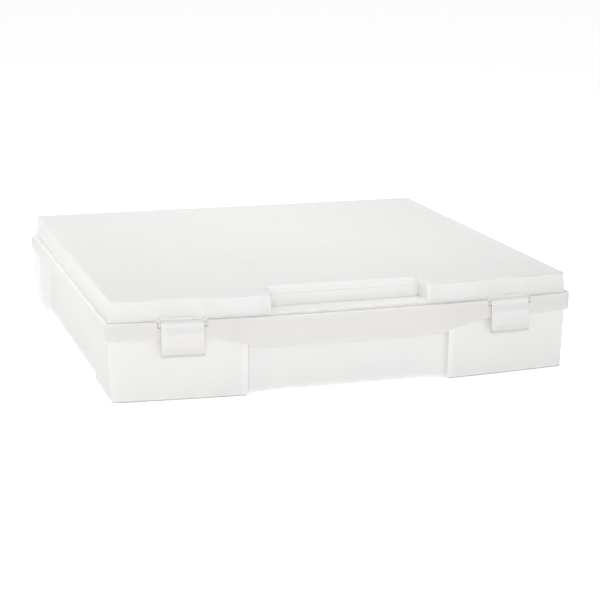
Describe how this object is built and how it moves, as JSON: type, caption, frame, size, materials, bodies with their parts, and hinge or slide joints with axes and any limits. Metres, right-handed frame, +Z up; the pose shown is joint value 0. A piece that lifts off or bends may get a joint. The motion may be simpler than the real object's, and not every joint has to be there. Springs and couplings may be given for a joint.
{
  "type": "art supply box",
  "caption": "Flat square moulded storage case for large paper sheets, with a hinged lid, front latches and a grip band.",
  "frame": {"origin": "under the middle of the closed case, on the floor that it stands on", "axes": "+X to the right along the front, +Y towards the hinge at the back, +Z up"},
  "size_m": [0.362, 0.3536, 0.075],
  "materials": {
    "case_plastic": "satin translucent polypropylene",
    "latch_plastic": "smooth translucent polypropylene",
    "pin_plastic": "smooth"
  },
  "bodies": {
    "tray": {"tray": "case_plastic", "hinge_pin_left": "pin_plastic", "hinge_pin_right": "pin_plastic"},
    "lid": {"lid": "case_plastic", "latch_pin_left": "pin_plastic", "latch_pin_right": "pin_plastic"},
    "latch_left": {"latch_left": "latch_plastic"},
    "latch_right": {"latch_right": "latch_plastic"}
  },
  "joints": [
    {"name": "lid_hinge", "type": "hinge", "parent": "tray", "child": "lid", "pos_m": [0, 0.17175, 0.051], "axis": [-1, 0, 0], "range_deg": [0, 180]},
    {"name": "latch_left_hinge", "type": "hinge", "parent": "lid", "child": "latch_left", "pos_m": [-0.12644, -0.17083, 0.05745], "axis": [-0.9967, 0.0808, 0], "range_deg": [0, 150]},
    {"name": "latch_right_hinge", "type": "hinge", "parent": "lid", "child": "latch_right", "pos_m": [0.12644, -0.17083, 0.05745], "axis": [-0.9967, -0.0808, 0], "range_deg": [0, 150]}
  ]
}
